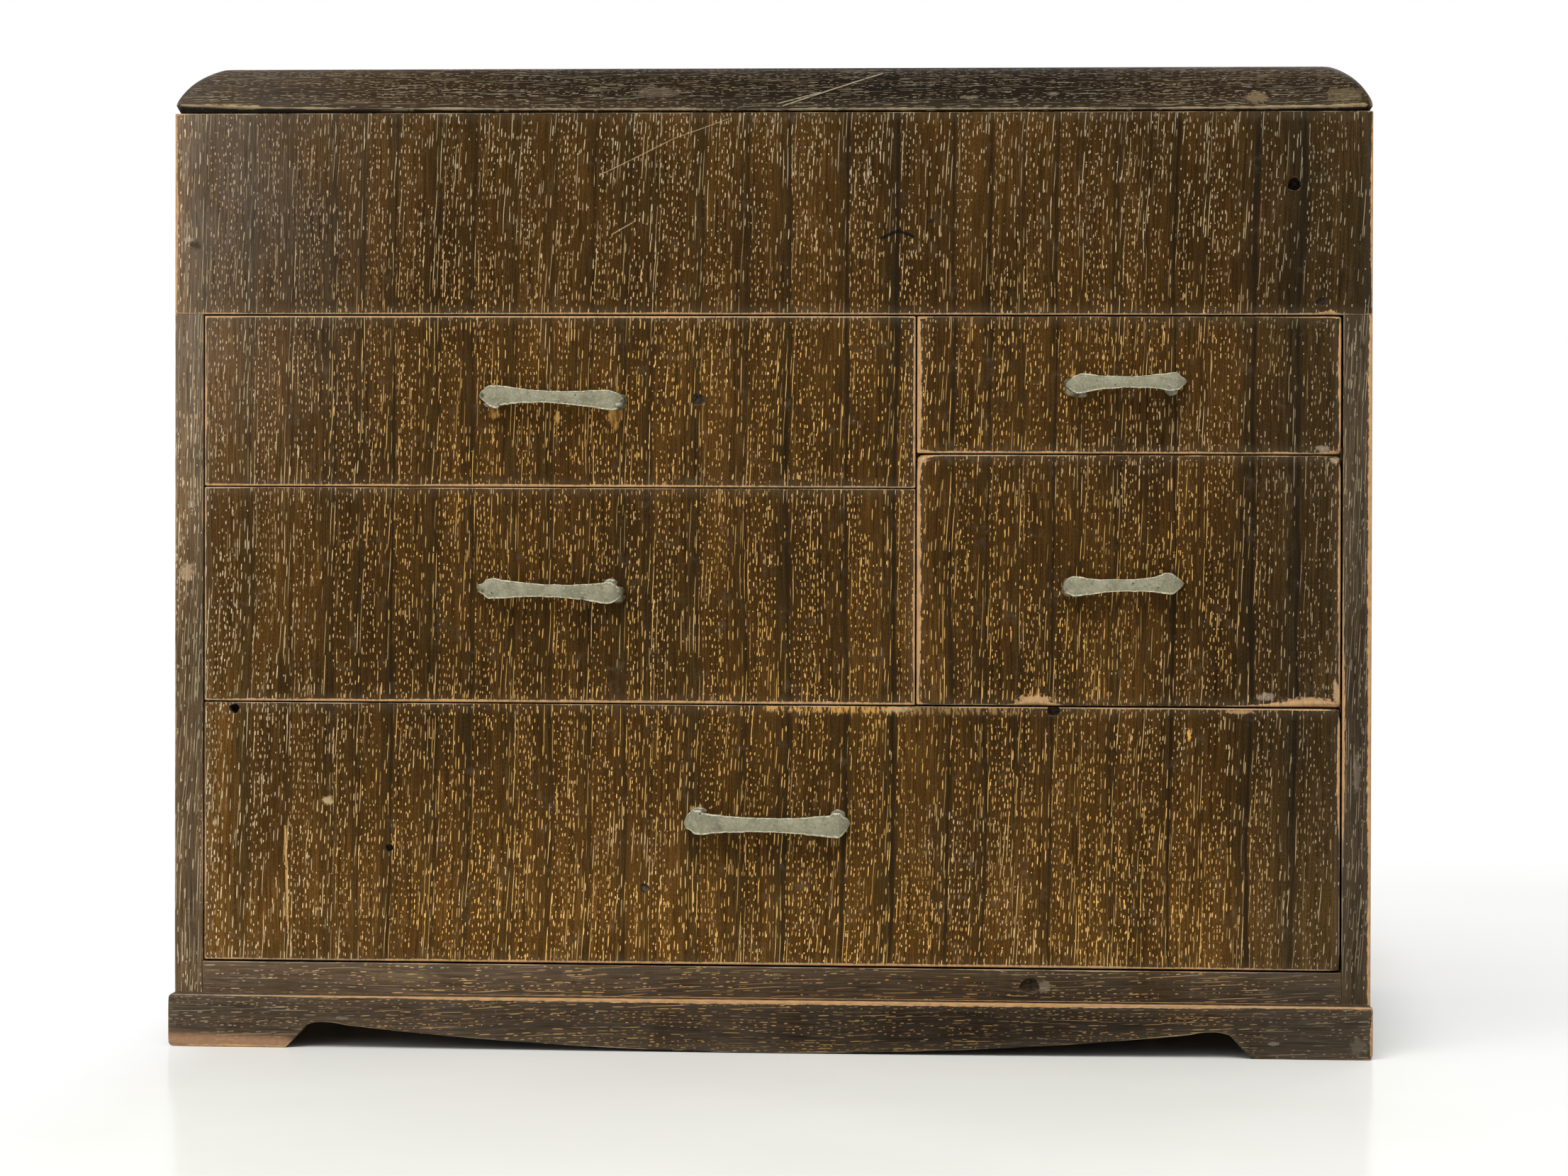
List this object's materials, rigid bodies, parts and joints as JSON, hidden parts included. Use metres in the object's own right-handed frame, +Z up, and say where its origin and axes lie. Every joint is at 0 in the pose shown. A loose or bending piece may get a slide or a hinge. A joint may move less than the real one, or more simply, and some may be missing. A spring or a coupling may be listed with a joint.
{
  "type": "miniature chest of drawers",
  "caption": "Small wooden chest with drawers of mixed sizes on slides, a hinged lid over a shallow well, cast bar handles and a shaped plinth.",
  "frame": {"origin": "centre of the box around the whole object, at the floor", "axes": "+X to the right seen from the front, the front faces -Y, +Z up"},
  "size_m": [0.1504, 0.08, 0.123],
  "materials": {
    "stained_wood": "dark stain over open grain with pale pores, worn pale at the edges",
    "bare_wood": "unstained sawn wood, dry and a little dusty",
    "handle_metal": "dull grey-green cast metal with small pits",
    "hinge_brass": "tarnished brass",
    "nail_steel": "dull steel"
  },
  "bodies": {
    "case": {"side_left": "stained_wood", "side_right": "stained_wood", "back_panel": "bare_wood", "base_board": "bare_wood", "front_rail": "stained_wood", "apron": "stained_wood", "well_front": "stained_wood", "well_floor": "bare_wood", "partition": "bare_wood", "shelf_full": "bare_wood", "shelf_left": "bare_wood", "shelf_right": "bare_wood", "hinge_left_case_leaf": "hinge_brass", "hinge_right_case_leaf": "hinge_brass", "hinge_left_pin": "hinge_brass", "hinge_right_pin": "hinge_brass", "hinge_case_nails": "nail_steel"},
    "lid": {"lid_board": "stained_wood", "hinge_left_lid_leaf": "hinge_brass", "hinge_right_lid_leaf": "hinge_brass", "hinge_lid_nails": "nail_steel"},
    "drawer_top_left": {"drawer_top_left_front": "stained_wood", "drawer_top_left_side_l": "bare_wood", "drawer_top_left_side_r": "bare_wood", "drawer_top_left_back": "bare_wood", "drawer_top_left_bottom": "bare_wood", "handle_top_left": "handle_metal"},
    "drawer_middle_left": {"drawer_middle_left_front": "stained_wood", "drawer_middle_left_side_l": "bare_wood", "drawer_middle_left_side_r": "bare_wood", "drawer_middle_left_back": "bare_wood", "drawer_middle_left_bottom": "bare_wood", "handle_middle_left": "handle_metal"},
    "drawer_top_right": {"drawer_top_right_front": "stained_wood", "drawer_top_right_side_l": "bare_wood", "drawer_top_right_side_r": "bare_wood", "drawer_top_right_back": "bare_wood", "drawer_top_right_bottom": "bare_wood", "handle_top_right": "handle_metal"},
    "drawer_middle_right": {"drawer_middle_right_front": "stained_wood", "drawer_middle_right_side_l": "bare_wood", "drawer_middle_right_side_r": "bare_wood", "drawer_middle_right_back": "bare_wood", "drawer_middle_right_bottom": "bare_wood", "handle_middle_right": "handle_metal"},
    "drawer_bottom": {"drawer_bottom_front": "stained_wood", "drawer_bottom_side_l": "bare_wood", "drawer_bottom_side_r": "bare_wood", "drawer_bottom_back": "bare_wood", "drawer_bottom_bottom": "bare_wood", "handle_bottom": "handle_metal"}
  },
  "joints": [
    {"name": "lid_hinge", "type": "hinge", "parent": "case", "child": "lid", "pos_m": [0, 0.0392, 0.11725], "axis": [-1, 0, 0], "range_deg": [0, 100]},
    {"name": "drawer_top_left_slide", "type": "slide", "parent": "case", "child": "drawer_top_left", "axis": [0, -1, 0], "range_m": [0, 0.052]},
    {"name": "drawer_middle_left_slide", "type": "slide", "parent": "case", "child": "drawer_middle_left", "axis": [0, -1, 0], "range_m": [0, 0.052]},
    {"name": "drawer_top_right_slide", "type": "slide", "parent": "case", "child": "drawer_top_right", "axis": [0, -1, 0], "range_m": [0, 0.052]},
    {"name": "drawer_middle_right_slide", "type": "slide", "parent": "case", "child": "drawer_middle_right", "axis": [0, -1, 0], "range_m": [0, 0.052]},
    {"name": "drawer_bottom_slide", "type": "slide", "parent": "case", "child": "drawer_bottom", "axis": [0, -1, 0], "range_m": [0, 0.052]}
  ]
}
